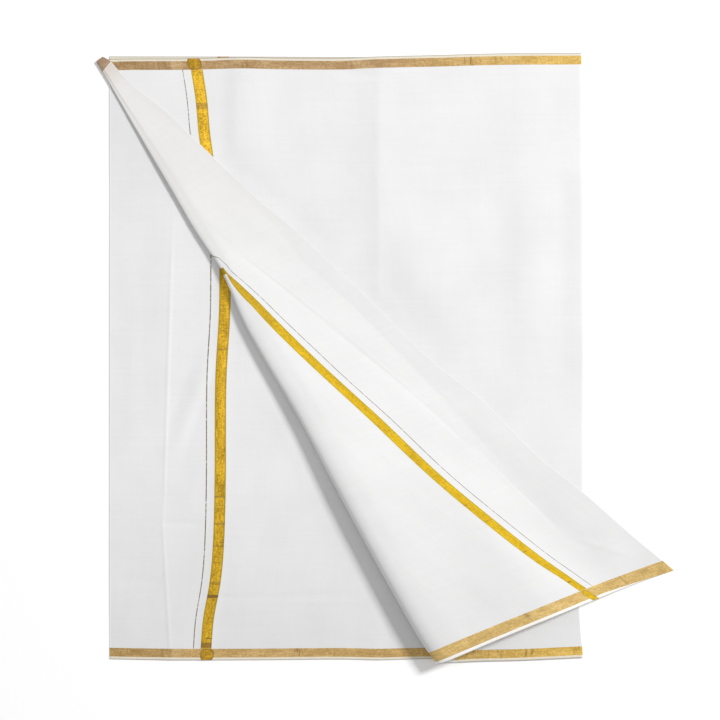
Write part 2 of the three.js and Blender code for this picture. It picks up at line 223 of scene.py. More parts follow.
# %% Creases of the turned corner
CORNER_PRESSED = table(
    CREASE,
    (-430, 326, -290, 204, -0.35, 16, 14),
    (-330, 240, -140, 86, -0.4, 20, 18),
    (-190, 124, 90, -100, -0.4, 22, 20),
    (45, -64, 250, -247, -0.4, 20, 18),
    (220, -220, 395, -388, -0.35, 18, 18),
    (370, -370, 540, -424, 0.3, 14, 12),
    (-272, 29, -220, 64, -0.6, 6, 9),
    (-350, 258, -90, 55, 0.2, 7, 7),
    (-120, 80, 120, -124, 0.22, 7, 7),
    (100, -104, 365, -369, 0.2, 7, 7),
)
CORNER_SOFT = table(
    CREASE,
    (-300, 242, 480, -352, 0.4, 46, 42),
    (215, -230, 297, -700, 1.2, 120, 60),
    (195, -360, 215, -600, 1.8, 140, 60),
    (200, -345, 440, -570, 0.5, 60, 60),
)
print("corner:", len(CORNER_PRESSED["height"]), "pressed,", len(CORNER_SOFT["height"]), "soft")

# %% [markdown]
# At any place the heights of the creases are added up. A pressed crease has a sharp top, and
# a soft one a round top. Between the creases the cloth is a little slack, as waves of several
# lengths that never repeat.

# %% The height of the creases at a place
WAVES_MOST = 3.2


def crease_height(x, y, rows, pressed):
    """The creases of one table, added up. Each fades away at both of its ends."""
    height = np.zeros_like(x)
    for i in range(len(rows["height"])):
        run_x = rows["to_x"][i] - rows["from_x"][i]
        run_y = rows["to_y"][i] - rows["from_y"][i]
        run = math.hypot(run_x, run_y)
        off_x, off_y = x - rows["from_x"][i], y - rows["from_y"][i]
        along = (off_x * run_x + off_y * run_y) / run ** 2
        aside = (off_y * run_x - off_x * run_y) / run
        width = np.where(aside > 0, rows["left"][i], rows["right"][i])
        across = np.clip(np.abs(aside) / width, 0, 1)
        profile = (1 - across) ** 2 if pressed else fade(across)
        height += rows["height"][i] * profile * fade((2 * along - 1) ** 2)
    return height


def slack(x, y, amount):
    """The slight unevenness of cloth that was smoothed by hand, from zero to the amount."""
    waves = (
        np.sin(x / 61 + y / 143 + 0.4) + np.sin(x / 97 - y / 71 + 2.1)
        + np.sin(x / 37 + y / 211 + 4.0) * 0.6 + np.sin(y / 53 - x / 190 + 1.3) * 0.6
    )
    return amount * (waves + WAVES_MOST) / (2 * WAVES_MOST)


print("pressed crease, 10 mm off its line:", round(float(crease_height(
    np.array(-28.0), np.array(-580.0), LOWER_PRESSED, True)), 2), "mm")

# %% [markdown]
# ## From the cut to the table
# These functions carry cloth coordinates to the folded cloth. The lower and upper halves lie
# flat, so only their creases lift them. The pull is the skew that a loose weave takes when it
# is laid by hand, which bows the cross band. A gold band is stiffer than cotton, so it stands
# a little proud. Under another layer the creases are pressed out.

# %% The side fold and the hems
CUT_END_X = -580.8


def side_fold_x(v):
    return read(SIDE_FOLD_EDGE, "v", v, "x") - WALL / 2 - LAYER_STEP / 2


def hem_place(x, v, far, near):
    """How far up the table a row lies, between the far hem and the near one."""
    far_y, near_y = read(far, "x", x, "y"), read(near, "x", x, "y")
    return far_y + (near_y - far_y) * v / CLOTH_WIDTH


print("side fold, mid width:", round(float(side_fold_x(635.0)), 1), "mm")

# %% The lower half
LOWER_SLACK, BAND_STIFF, BAND_EASE = 0.5, 0.7, 26.0
TURN_COVERS_X, COVER_EASE = -40.0, 120.0
NEAR_STRIP_Y, STRIP_EASE = -560.0, 60.0


def lower_place(u, v):
    pull = np.minimum(u / BAND_CENTRE, (HALF_LENGTH - u) / (HALF_LENGTH - BAND_CENTRE))
    x = CUT_END_X + (side_fold_x(v) - CUT_END_X) * u / HALF_LENGTH
    x = x + read(LOWER_SKEW, "v", v, "shift") * pull
    y = hem_place(x, v, LOWER_FAR_HEM, LOWER_NEAR_HEM)
    lift = crease_height(x, y, LOWER_PRESSED, True) + crease_height(x, y, LOWER_SOFT, False)
    lift = lift + BAND_STIFF * fade(np.abs(u - BAND_CENTRE) / BAND_EASE)
    left_of_turn = fade((x - TURN_COVERS_X) / COVER_EASE)
    clear_of_strip = fade((NEAR_STRIP_Y - y) / STRIP_EASE)
    loose = np.maximum(left_of_turn, clear_of_strip)
    return x, y, LOWER_MID + (lift + slack(x, y, LOWER_SLACK)) * loose


print("cut end, mid width:", round(float(lower_place(0.0, 635.0)[0]), 1), "mm")

# %% The upper half, as far as the side fold
CORNER_COVERS, CORNER_EASE = 12.0, 60.0
OPEN_AGAIN_Y = -440.0
UPPER_SLACK = 0.4


def open_upper(x, y):
    """1 where the upper half is open to view, 0 well under the turned corner."""
    edge_x = np.interp(-y, -CORNER_EDGE["y"], CORNER_EDGE["x"])
    covered = fade((x - edge_x + CORNER_COVERS) / CORNER_EASE)
    return np.where(y < OPEN_AGAIN_Y, 1.0, 1 - covered)


def upper_place(u, v):
    pull = np.minimum(1, (HALF_LENGTH - u) / (HALF_LENGTH - BAND_CENTRE))
    x = CUT_END_X + (side_fold_x(v) - CUT_END_X) * u / HALF_LENGTH
    x = x + read(UPPER_SKEW, "v", v, "shift") * pull
    y = hem_place(x, v, UPPER_FAR_HEM, UPPER_NEAR_HEM)
    lift = crease_height(x, y, UPPER_PRESSED, True) + crease_height(x, y, UPPER_SOFT, False)
    return x, y, UPPER_MID + lift * open_upper(x, y) + slack(x, y, UPPER_SLACK)


def upper_path(s, v):
    """s is u as far as the side fold, and then goes on round it, to HALF_LENGTH + 1."""
    x, y, z = upper_place(np.minimum(s, HALF_LENGTH), v)
    turn = np.clip(s - HALF_LENGTH, 0, 1)
    reach = (z - LOWER_MID) / 2
    angle = np.pi * turn
    return x + reach * np.sin(angle), y, z - reach * (1 - np.cos(angle))


print("side fold, outermost:", round(float(upper_path(HALF_LENGTH + 0.5, 635.0)[0]), 1), "mm")

# %% [markdown]
# ## The rolled turn and the turned corner
# The turn is not pressed: the cloth rolls over on itself, tight at the far corner and looser
# towards the near hem, where it stands highest. Behind the crest of the roll the cloth comes
# down and lies on the upper half. A line of constant v arrives flat, winds round the roll and
# leaves towards the free end, as a thread of the weave does.

# %% The line of the turn
TURN_STEP = 10.0


def turn_start(v):
    """The outermost place of the turn on a row, and a unit step along the turn's line."""
    x = read(TURN_EDGE, "v", v, "x")
    y = hem_place(x, v, UPPER_FAR_HEM, UPPER_NEAR_HEM)
    ahead = np.minimum(v + TURN_STEP, CLOTH_WIDTH)
    behind = np.maximum(ahead - 2 * TURN_STEP, 0)
    along_x = read(TURN_EDGE, "v", ahead, "x") - read(TURN_EDGE, "v", behind, "x")
    along_y = behind - ahead
    size = np.hypot(along_x, along_y)
    return x, y, along_x / size, along_y / size


def upper_u(x, v):
    """Back to the cut: the u of the place on the upper half that lies at x."""
    stretch = (side_fold_x(v) - CUT_END_X) / HALF_LENGTH
    shift = read(UPPER_SKEW, "v", v, "shift")
    u = (x - CUT_END_X - shift) / stretch
    rest = HALF_LENGTH - BAND_CENTRE
    beyond = (x - CUT_END_X - shift * HALF_LENGTH / rest) / (stretch - shift / rest)
    return np.where(u <= BAND_CENTRE, u, beyond)


def turn_u(v):
    return upper_u(read(TURN_EDGE, "v", v, "x"), v)


def upper_start_u(v):
    """Where a row leaves the flat upper half and goes up into the roll."""
    x, _, _, along_y = turn_start(v)
    return upper_u(x + read(TURN_EDGE, "v", v, "reach") / -along_y, v)


print("cloth turned over at the near hem:", round(float(turn_u(CLOTH_WIDTH))), "mm")

# %% The roll
ROLL_FULLNESS = 0.65
CORNER_BOW = 4.0


def corner_end(v):
    """Where a row ends, at the cut end of the turned corner."""
    return read(CORNER_EDGE, "v", v, "x"), read(CORNER_EDGE, "v", v, "y")


def turn_place(t, v):
    """t is 0 on the upper half, 0.5 at the outermost place and 1 on the crest."""
    x, y, along_x, along_y = turn_start(v)
    across_x, across_y = -along_y, along_x
    rise = read(TURN_EDGE, "v", v, "rise")
    reach = read(TURN_EDGE, "v", v, "reach")
    end_x, end_y = corner_end(v)
    out_x, out_y = end_x - x, end_y - y
    bow = 4 * CORNER_BOW * (v / CLOTH_WIDTH) ** 2 / np.hypot(out_x, out_y)
    out_x, out_y = out_x - out_y * bow, out_y + out_x * bow
    lean_below = along_x / across_x
    lean_above = (out_x * along_x + out_y * along_y) / (out_x * across_x + out_y * across_y)
    inward = reach * (1 - np.sin(np.pi * t))
    lean = inward * np.where(t < 0.5, lean_below, lean_above)
    _, start_y, start_z = upper_place(upper_start_u(v), v)
    swell = -np.sign(np.cos(np.pi * t)) * np.abs(np.cos(np.pi * t)) ** ROLL_FULLNESS
    px = x + across_x * inward + along_x * lean
    py = y + across_y * inward + along_y * lean + (start_y - y) * (1 - t)
    pz = UPPER_MID + rise * (1 + swell) / 2 + (start_z - UPPER_MID) * (1 - t) ** 2
    return px, py, pz


print("cut end of the corner:", [round(float(c)) for c in corner_end(CLOTH_WIDTH)], "mm")

# %% [markdown]
# ### How the cloth comes down behind the roll
# By the far corner the cloth falls from the crest in one even slope. Towards the near hem
# the roll is loose: the cloth drops a little at once, stays puffed over the air under it, and
# only then comes down. The two shapes are blended along the width.

# %% Behind the crest
CREST_EASE = 0.06
PUFFED, PUFFED_MORE, PUFFED_NEAR_HEM = 0.6, 0.1, 230.0
SOON_DOWN, LATE_FROM = 0.5, 0.45
EVEN_BEND, SOON_BEND = 1.2, 1.35
LOOSE_FROM, LOOSE_OVER = 840.0, 220.0


def roll_down(t, v):
    """How high the cloth still stands behind the crest: 1 at the crest, 0 where it is down."""
    t = np.hypot(np.minimum(t, 1), CREST_EASE) - CREST_EASE
    t = t / (math.hypot(1, CREST_EASE) - CREST_EASE)
    even = (1 - t) ** EVEN_BEND
    puffed = PUFFED + PUFFED_MORE * fade((CLOTH_WIDTH - v) / PUFFED_NEAR_HEM)
    soon = (1 - puffed) * (1 - np.minimum(t / SOON_DOWN, 1)) ** SOON_BEND
    late = puffed * fade(np.maximum(t - LATE_FROM, 0) / (1 - LATE_FROM))
    loose = 1 - fade((v - LOOSE_FROM) / LOOSE_OVER)
    return even * (1 - loose) + (soon + late) * loose


print("half way down, near hem:", round(float(roll_down(0.5, CLOTH_WIDTH)), 2))

# %% The corner behind the roll
CORNER_LIFT, CORNER_SLACK = 0.4, 0.6
BESIDE_CREST = 1 / 12
TIP_CLEAR_X, TIP_DROP = 455.0, 105.0


def corner_length(v):
    crest_x, crest_y, _ = turn_place(np.ones_like(v), v)
    end_x, end_y = corner_end(v)
    return np.hypot(end_x - crest_x, end_y - crest_y)


def corner_path(s, v):
    """s runs from -1 to 0 round the turn, and then from 0 to 1 out to the cut end."""
    turn_x, turn_y, turn_z = turn_place(np.clip(s + 1, 0, 1), v)
    crest_x, crest_y, crest_z = turn_place(np.ones_like(s), v)
    end_x, end_y = corner_end(v)
    q = np.clip(s, 0, 1)
    out_x, out_y = end_x - crest_x, end_y - crest_y
    bow = 4 * CORNER_BOW * (v / CLOTH_WIDTH) ** 2 * q * (1 - q) / np.hypot(out_x, out_y)
    x = crest_x + out_x * q - out_y * bow
    y = crest_y + out_y * q + out_x * bow
    from_crest = np.hypot(x - crest_x, y - crest_y)
    down = roll_down(from_crest / read(TURN_EDGE, "v", v, "fall"), v)
    over = fade((x - TIP_CLEAR_X) / TIP_DROP)
    beside = fade(q / BESIDE_CREST)
    loose = slack(x, y, CORNER_SLACK)
    rest = LOWER_MID + (CORNER_MID + CORNER_LIFT - LOWER_MID) * over + loose
    soft = crease_height(x, y, CORNER_SOFT, False) * (1 - down) * over
    pressed = crease_height(x, y, CORNER_PRESSED, True) * (1 - beside)
    z = rest + (crest_z - CORNER_MID) * down + soft + pressed - (loose + CORNER_LIFT) * beside
    return np.where(s < 0, turn_x, x), np.where(s < 0, turn_y, y), np.where(s < 0, turn_z, z)


print("corner's hem, crest to cut end:", round(float(corner_length(np.array(CLOTH_WIDTH)))), "mm")

# %% Cloth coordinates on the corner
NARROWEST = 0.1


def corner_u(s, v):
    """Back to the cut: u from the path coordinate, with the cross band where it lies."""
    length, crest = corner_length(v), turn_u(v)
    away = np.clip(s, 0, 1) * length
    inner, outer = read(CORNER_BAND, "v", v, "inner"), read(CORNER_BAND, "v", v, "outer")
    strip = np.minimum(crest, BAND_NEAR) * (length - away) / (length - outer)
    band = BAND_FAR - BAND_WIDTH * (away - inner) / np.maximum(outer - inner, NARROWEST)
    field = BAND_FAR + (crest - BAND_FAR) * (inner - away) / np.maximum(inner, NARROWEST)
    u = np.where(away >= outer, strip, np.where(away >= inner, band, field))
    return u + (upper_start_u(v) - crest) * np.clip(-s, 0, 1)


def band_edge(side):
    return lambda v: read(CORNER_BAND, "v", v, side) / corner_length(v)


print("band starts", round(float(band_edge("inner")(CLOTH_WIDTH)), 2), "of the way out")

# %% [markdown]
# ## One way to make every shell
# A grid primitive is the flat cut: as many cells each way as the cloth needs. Its rows are
# lines of constant v. Its columns are spread between two lines, which may themselves bend,
# so that a cross band has clean edges. Then the grid is folded, by moving each vertex to its
# place, and Solidify gives it the thickness of cotton. Its UV map keeps the cloth
# coordinates in metres, so that the weave follows the folds.
# A cloth simulation was the other way, but the turned corner is placed by hand in real life
# too, and its creases have to lie where they were pressed.

# %% The flat cut, folded
def take_only(*pieces):
    bpy.ops.object.select_all(action="DESELECT")
    for piece in pieces:
        piece.select_set(True)
    bpy.context.view_layer.objects.active = pieces[0]


def cloth_grid(v_from, v_to, cell, columns, first, last, path, u_of):
    """A grid between two rows of the cut, laid in place by path and unfolded by u_of."""
    rows = max(1, round((v_to - v_from) / cell))
    bpy.ops.object.select_all(action="DESELECT")
    bpy.ops.mesh.primitive_grid_add(x_subdivisions=columns, y_subdivisions=rows, size=1)
    piece = bpy.context.active_object
    mesh = piece.data
    flat = np.empty(len(mesh.vertices) * 3)
    mesh.vertices.foreach_get("co", flat)
    flat = flat.reshape(-1, 3)
    v = v_from + (0.5 - flat[:, 1]) * (v_to - v_from)
    s = first(v) + (flat[:, 0] + 0.5) * (last(v) - first(v))
    x, y, z = path(s, v)
    mesh.vertices.foreach_set("co", (np.stack([x, y, z], 1) * MM).ravel())
    uv = mesh.uv_layers.active
    uv.name = "cloth"
    corner = np.empty(len(mesh.loops), dtype=np.int64)
    mesh.loops.foreach_get("vertex_index", corner)
    cloth = np.stack([u_of(s, v), v], 1) * MM
    uv.data.foreach_set("uv", cloth[corner].ravel())
    mesh.update()
    return piece


def level(value):
    return lambda v: np.full_like(v, value)


print("a level line:", level(2.0)(np.zeros(3)))

# %% Thickness and finish
SHELL = 0.45
SMOOTH_BELOW = math.radians(50)


def finish_cloth(name, parts, material):
    take_only(*parts)
    if len(parts) > 1:
        bpy.ops.object.join()
    piece = bpy.context.active_object
    piece.name = piece.data.name = name
    thick = piece.modifiers.new("thickness", "SOLIDIFY")
    thick.thickness = SHELL * MM
    thick.offset = 0
    bpy.ops.object.modifier_apply(modifier=thick.name)
    bpy.ops.object.shade_smooth_by_angle(angle=SMOOTH_BELOW)
    piece.data.materials.clear()
    piece.data.materials.append(material)
    print(name, len(piece.data.polygons), "faces")
    return piece


print("shell thickness:", SHELL, "mm")

# %% [markdown]
# ## Finishes
# Every finish is woven thread, so each is one shader with a weave in its bump. A small kit
# keeps the node trees short. Each material reads the UV map "cloth" of its own shell, so its
# pattern is drawn from the cloth coordinates, in metres, and follows the folds.

# %% The nodes of one material
class Nodes:
    def __init__(self, name):
        self.material = bpy.data.materials.new(name)
        self.material.use_nodes = True
        self.tree = self.material.node_tree
        self.shader = self.tree.nodes["Principled BSDF"]
        place = self.tree.nodes.new("ShaderNodeUVMap")
        place.uv_map = "cloth"
        split = self.tree.nodes.new("ShaderNodeSeparateXYZ")
        self.link(place.outputs["UV"], split.inputs[0])
        self.uv, self.u, self.v = place.outputs["UV"], split.outputs["X"], split.outputs["Y"]

    def link(self, source, socket):
        self.tree.links.new(source, socket)

    def feed(self, socket, value):
        if isinstance(value, (int, float)):
            socket.default_value = value
        elif isinstance(value, tuple):
            socket.default_value = (*value, 1)
        else:
            self.link(value, socket)

    def math(self, operation, a, b=0.0, c=0.0, clamp=False):
        node = self.tree.nodes.new("ShaderNodeMath")
        node.operation = operation
        node.use_clamp = clamp
        for socket, value in zip(node.inputs, (a, b, c)):
            self.feed(socket, value)
        return node.outputs[0]

    def mix(self, amount, a, b):
        node = self.tree.nodes.new("ShaderNodeMix")
        node.data_type = "RGBA"
        for socket, value in zip((node.inputs["Factor"], *node.inputs[6:8]), (amount, a, b)):
            self.feed(socket, value)
        return node.outputs[2]


print("node kit:", [word for word in vars(Nodes) if not word.startswith("_")])

# %% [markdown]
# ### Patterns of thread
# A sine along u times a sine along v gives the overs and unders of a plain weave. Noise that
# is long one way and thin the other gives slubs, the thick places in a spun thread: its two
# scales are how many blobs there are to a metre along the length and across the width.

# %% Patterns drawn from the cloth coordinates
class ClothNodes(Nodes):
    def noise(self, scale_u, scale_v, detail):
        stretch = self.tree.nodes.new("ShaderNodeMapping")
        stretch.inputs["Scale"].default_value = (scale_u, scale_v, 1)
        self.link(self.uv, stretch.inputs["Vector"])
        node = self.tree.nodes.new("ShaderNodeTexNoise")
        node.inputs["Scale"].default_value = 1
        node.inputs["Detail"].default_value = detail
        node.inputs["Roughness"].default_value = 0.55
        self.link(stretch.outputs["Vector"], node.inputs["Vector"])
        return node.outputs["Fac"]

    def ramp(self, value, zero_at, one_at):
        """0 at one value and 1 at the other, straight between and level beyond."""
        slope = 1 / (one_at - zero_at)
        return self.math("MULTIPLY_ADD", value, slope, -zero_at * slope, clamp=True)

    def near(self, coordinate, place, half_width, soft):
        """1 within half_width of the place, fading to 0 over soft, all in metres."""
        away = self.math("ABSOLUTE", self.math("SUBTRACT", coordinate, place))
        return self.ramp(away, half_width + soft, half_width)

    def grain(self, *parts):
        """Noises about a middle tone of 0.5, each with the strength it is given."""
        tone = 0.5
        for noise, strength in parts:
            tone = self.math("MULTIPLY_ADD", self.math("SUBTRACT", noise, 0.5), strength, tone)
        return self.math("ADD", tone, 0.0, clamp=True)

    def weave(self, pitch_u, pitch_v):
        along = self.math("SINE", self.math("MULTIPLY", self.u, math.tau / pitch_u))
        across = self.math("SINE", self.math("MULTIPLY", self.v, math.tau / pitch_v))
        return self.math("MULTIPLY", along, across)

    def bump(self, height, distance, strength):
        node = self.tree.nodes.new("ShaderNodeBump")
        node.inputs["Distance"].default_value = distance
        node.inputs["Strength"].default_value = strength
        self.link(height, node.inputs["Height"])
        self.link(node.outputs["Normal"], self.shader.inputs["Normal"])


print("patterns:", [word for word in vars(ClothNodes) if not word.startswith("_")])

# %% [markdown]
# ### White cotton
# Bleached cotton is not paper white. Its threads vary: some are thicker, some a little
# greyer, and the cloth is cloudy where they were beaten in less closely. One flat colour
# would look like plastic, so several noises mix two close tones.

# %% White threads
DULLER_THREAD = 0.925


def white_threads(n, tone, slubs, cross_slubs):
    cloudy = n.noise(9, 7, 3)
    uneven_picks = n.noise(170, 5, 2)
    uneven_ends = n.noise(5, 150, 2)
    grain = n.grain((slubs, 0.6), (cross_slubs, 0.6), (cloudy, 1.6), (uneven_picks, 0.4),
                    (uneven_ends, 0.6))
    return n.mix(grain, tuple(DULLER_THREAD * channel for channel in tone), tone)


print("duller threads:", DULLER_THREAD, "of the white")

# %% [markdown]
# Painted shade makes the cloth a shade greyer towards the near hem, and on the lower half towards
# the far hem too. Where the turned corner is narrow and lies close, what is under it shows
# through as a warmer tone. A cut end is paler, in a thin line.

# %% Painted shade by the hems, and marks
PAINTED_HEM_SHADE = (0.10, 0.10, 0.10)
PALE_CUT_END = (0.84, 0.84, 0.84)
SHOWS_THROUGH = (0.60, 0.49, 0.39)
SHADE_BY_NEAR_HEM, SHADE_BY_FAR_HEM = (0.85, 1.27), (0.36, 0.16)
THIN, VERY_THIN, THIN_SHARE = (0.50, 0.22), (0.065, 0.03), 0.22
CUT_END_LINE, CUT_END_SOFT = 0.0012, 0.001


def shade_and_marks(n, white, near_shade, far_shade, through):
    # Painted shade: grey mixed in towards the near hem and, by its own amount, towards the far
    # hem.
    near_side = n.math("MULTIPLY", n.ramp(n.v, *SHADE_BY_NEAR_HEM), near_shade)
    far_side = n.math("MULTIPLY", n.ramp(n.v, *SHADE_BY_FAR_HEM), far_shade)
    base = n.mix(n.math("ADD", near_side, far_side), white, PAINTED_HEM_SHADE)
    very_thin = n.ramp(n.v, *VERY_THIN)
    thin = n.math("MULTIPLY_ADD", n.ramp(n.v, *THIN), THIN_SHARE, very_thin)
    base = n.mix(n.math("MULTIPLY", thin, through, clamp=True), base, SHOWS_THROUGH)
    # A thin paler line along the cut end.
    return n.mix(n.near(n.u, 0.0, CUT_END_LINE, CUT_END_SOFT), base, PALE_CUT_END)


print("tones of use:", PAINTED_HEM_SHADE, PALE_CUT_END, SHOWS_THROUGH)

# %% [markdown]
# One thin dull line is woven in beside each cross band, on the side of the cut end. It is
# only a thread or two, so it belongs to the weave and is drawn by its place. Geometry that
# thin would be lost between two pixels.

# %% The accent line
ACCENT_LINE_U = 0.2065
ACCENT_THREAD = (0.17, 0.14, 0.08)
ACCENT_SHIFTS, ACCENT_SOFT = (0.66, 0.46), 0.0005


def accent_line(n, base, half, shift):
    place = n.math("MULTIPLY_ADD", n.ramp(n.v, *ACCENT_SHIFTS), shift, ACCENT_LINE_U)
    line = n.near(n.u, place, half, ACCENT_SOFT)
    wear_and_crease_light = n.ramp(n.noise(60, 140, 2), 0.2, 0.5)
    return n.mix(n.math("MULTIPLY", line, wear_and_crease_light), base, ACCENT_THREAD)


print("accent line:", ACCENT_LINE_U, "m from the cut end")

# %% Cotton
COTTON_PITCH, COTTON_DEPTH = 0.0009, 0.00022


def cotton(name, tone, near_shade, far_shade, through, accent_half, accent_shift):
    n = ClothNodes(name)
    slubs = n.noise(90, 1500, 4)
    cross_slubs = n.noise(1500, 90, 4)
    base = shade_and_marks(n, white_threads(n, tone, slubs, cross_slubs), near_shade, far_shade, through)
    n.link(accent_line(n, base, accent_half, accent_shift), n.shader.inputs["Base Color"])
    n.shader.inputs["Roughness"].default_value = 0.92
    n.shader.inputs["Specular IOR Level"].default_value = 0.25
    n.shader.inputs["Sheen Weight"].default_value = 0.12
    n.shader.inputs["Sheen Roughness"].default_value = 0.5
    height = n.math("MULTIPLY_ADD", n.weave(COTTON_PITCH, COTTON_PITCH), 0.12, slubs)
    n.bump(n.math("ADD", height, cross_slubs), COTTON_DEPTH, 0.7)
    return n.material


# After each tone come its painted shade by the near hem and by the far hem.
cotton_lower = cotton("cotton_lower", (0.80, 0.80, 0.80), 0.12, 0.07, 0.0, 0.0009, 0.0)
cotton_face = cotton("cotton_face", (0.808, 0.808, 0.808), 0.10, 0.0, 0.0, 0.0006, 0.0)
cotton_reverse = cotton(
    "cotton_reverse", (0.80, 0.80, 0.797), 0.09, 0.0, 0.42, 0.0005, 0.006)
print("cotton finishes:", cotton_lower.name, cotton_face.name, cotton_reverse.name)

# %% [markdown]
# ### Zari
# Zari is a silk or polyester core wrapped in gold-coloured metal. Woven solid, it is a metal and
# a cloth at once: partly metallic, and broken into small glints by its threads. Those glints are
# partly the metal's own reflection and partly painted glints in its colour. So the borders and
# the bands share one look, with a bump of thread on it.

# %% What all zari shares
# A dark tone for dark threads, dark marks and painted shade, and a light one for painted glints
# and highlights.
DARK_ZARI_AND_SHADE = (0.24, 0.13, 0.035)
PAINTED_GLINT = (1.0, 0.84, 0.50)
ZARI_DEPTH = 0.0004


def zari_look(n, colour, height, metallic, roughness):
    n.link(colour, n.shader.inputs["Base Color"])
    n.shader.inputs["Metallic"].default_value = metallic
    n.shader.inputs["Roughness"].default_value = roughness
    n.shader.inputs["Specular IOR Level"].default_value = 0.4
    n.bump(height, ZARI_DEPTH, 0.9)
    return n.material


print("zari, in a crease and in a glint:", DARK_ZARI_AND_SHADE, PAINTED_GLINT)

# %% [markdown]
# ### The borders
# A border is worked along each selvedge, and outside it a narrow edge of plain cotton is
# left. The edge of the gold wanders by part of a millimetre. On the turned corner the hem
# curls under towards the tip, and takes the plain edge with it.

# %% How much gold shows by the hem
SELVEDGE = 0.0055
BORDER_GOLD = 0.0185
GOLD_CENTRE = SELVEDGE + BORDER_GOLD / 2
EDGE_WANDERS, EDGE_SOFT = 0.0004, 0.0006
CURLS = (0.20, 0.02)


def gold_shown(n, from_hem, curled):
    jitter = n.math("MULTIPLY_ADD", n.noise(900, 30, 2), 2 * EDGE_WANDERS, -EDGE_WANDERS)
    shown = n.math("ADD", from_hem, jitter)
    under = n.math("MULTIPLY_ADD", n.ramp(n.u, *CURLS), curled, shown)
    shown = n.math("MAXIMUM", shown, n.math("MINIMUM", under, GOLD_CENTRE))
    return n.near(shown, GOLD_CENTRE, BORDER_GOLD / 2 - EDGE_WANDERS, EDGE_SOFT)


print("gold from", SELVEDGE, "to", round(SELVEDGE + BORDER_GOLD, 4), "m from the hem")

# %% [markdown]
# The gold's tone drifts along the length, and from one selvedge to the other. On the face, the
# border is painted darker from the cut end up to the pressed crease near it, as painted shade on
# the side of the crease that faces away from the light. Just past the crease a strip is painted
# lighter, as a painted highlight. Then the threads break the tone up into darker threads and
# painted glints, and short dark marks run across it here and there.

# %% The tone of a border
DRIFTS_ALONG, DRIFTS_ACROSS = (0.6, 1.0), (0.5, 0.7)
CREASE_LEAN, SHADED_TO = 0.024, (0.185, 0.182)
LIT_STRIP_PLACE = (0.196, 0.011, 0.003)


def border_tone(n, far_tones, near_tones, wear_and_crease_light):
    along = n.ramp(n.u, *DRIFTS_ALONG)
    far, near = n.mix(along, *far_tones), n.mix(along, *near_tones)
    colour = n.mix(n.ramp(n.v, *DRIFTS_ACROSS), far, near)
    crease_side = n.math("MULTIPLY_ADD", n.v, CREASE_LEAN, n.u)
    # Painted shade from the cut end up to the pressed crease, and a painted highlight on a strip
    # just past it.
    darker = n.math("MULTIPLY", n.ramp(crease_side, *SHADED_TO), wear_and_crease_light)
    lit_strip = n.math("MULTIPLY", n.near(crease_side, *LIT_STRIP_PLACE), wear_and_crease_light)
    return n.mix(lit_strip, n.mix(darker, colour, DARK_ZARI_AND_SHADE), PAINTED_GLINT)


def broken_up(n, colour, grain):
    # Darker threads at random, and painted glints where the grain is high.
    colour = n.mix(n.math("MULTIPLY_ADD", grain, -0.5, 0.5), colour, DARK_ZARI_AND_SHADE)
    colour = n.mix(n.math("MULTIPLY_ADD", grain, 0.5, -0.2, clamp=True), colour, PAINTED_GLINT)
    short_lines = n.ramp(n.noise(170, 22, 2), 0.58, 0.70)
    here_and_there = n.ramp(n.noise(11, 3, 1), 0.48, 0.60)
    short_marks = n.math("MULTIPLY", short_lines, here_and_there)
    return n.mix(n.math("MULTIPLY", short_marks, 0.65), colour, DARK_ZARI_AND_SHADE)


print("the tone drifts from", *DRIFTS_ALONG, "m from the cut end")

# %% [markdown]
# Where a band crosses a border, gold lies on gold and packs into a knot. It leans a little,
# it is dark at its rim, and it is spotted. Its outline is a rounded square, for which the
# cubes of the two distances are added.

# %% The knots
KNOT_LEAN, KNOT_SHIFT = -0.0047, 0.003


def knot(n, from_hem, centre, half_u, half_v):
    """How far a place is from the middle of the knot where a band crosses: 1 at its rim."""
    lean = n.math("MULTIPLY_ADD", n.v, KNOT_LEAN, KNOT_SHIFT - BAND_CENTRE * MM)
    du = n.math("DIVIDE", n.math("ABSOLUTE", n.math("ADD", n.u, lean)), half_u)
    dv = n.math("ABSOLUTE", n.math("DIVIDE", n.math("SUBTRACT", from_hem, centre), half_v))
    return n.math("ADD", n.math("POWER", du, 3.0), n.math("POWER", dv, 3.0))


def knot_tone(n, away, tone, dark_rim, dark_spots):
    mottle = n.ramp(n.noise(150, 170, 2), 0.62, 0.38)
    spotted = n.mix(n.math("MULTIPLY", mottle, dark_spots), tone, DARK_ZARI_AND_SHADE)
    rim = n.math("MULTIPLY", n.ramp(away, 0.45, 0.95), dark_rim)
    return n.mix(rim, spotted, DARK_ZARI_AND_SHADE)


print("the knots are", BAND_CENTRE, "mm from the cut end")

# %% A whole border
EDGE_SHADE_HALF_AND_SOFT = (0.0008, 0.001)
ALONG_PITCH, ACROSS_PITCH, ZARI_WEAVE = 0.0016, 0.0008, 0.35


